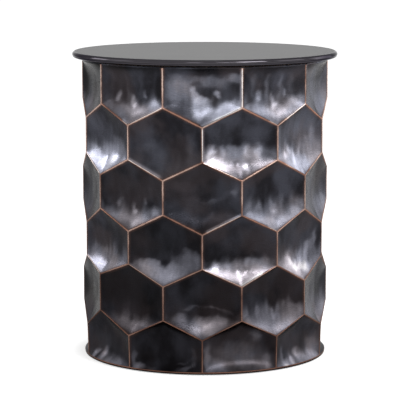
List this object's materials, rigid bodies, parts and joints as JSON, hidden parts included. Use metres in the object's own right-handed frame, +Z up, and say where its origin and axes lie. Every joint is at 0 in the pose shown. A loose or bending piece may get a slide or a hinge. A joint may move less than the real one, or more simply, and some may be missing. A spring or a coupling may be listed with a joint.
{
  "type": "storage drum side table",
  "caption": "Round drum side table of sheet steel embossed with a honeycomb of dished cells, with storage inside under a flat lift-off lid with a rounded rim.",
  "frame": {"origin": "on the floor, on the drum's axis", "axes": "+Z up along the drum's axis; -Y towards the side that the picture shows; +X to the right seen from there"},
  "size_m": [0.4599, 0.46, 0.529],
  "materials": {
    "drum_steel": "dark gunmetal patina, glossy, with the ridges worn to copper",
    "inner_steel": "black semi-gloss paint",
    "lid_steel": "charcoal satin paint",
    "board": "fibreboard, raw on the underside",
    "zinc_steel": "zinc plated",
    "glide_rubber": "matt black"
  },
  "bodies": {
    "drum": {"drum_shell": "drum_steel", "mouth_ring": "inner_steel", "base_ring": "inner_steel", "floor_pan": "inner_steel", "pan_rivets": "zinc_steel", "foot_glide_1": "glide_rubber", "foot_glide_2": "glide_rubber", "foot_glide_3": "glide_rubber", "foot_glide_4": "glide_rubber"},
    "lid": {"lid_skin": "lid_steel", "lid_board": "board", "locating_ring": "inner_steel", "ring_tab_1": "zinc_steel", "ring_tab_2": "zinc_steel", "ring_tab_3": "zinc_steel", "ring_tab_4": "zinc_steel", "ring_screws": "zinc_steel", "rest_pad_1": "glide_rubber", "rest_pad_2": "glide_rubber", "rest_pad_3": "glide_rubber", "rest_pad_4": "glide_rubber"}
  },
  "joints": [
    {"name": "lid_lift", "type": "slide", "parent": "drum", "child": "lid", "axis": [0, 0, 1], "range_m": [0, 0.25]}
  ]
}
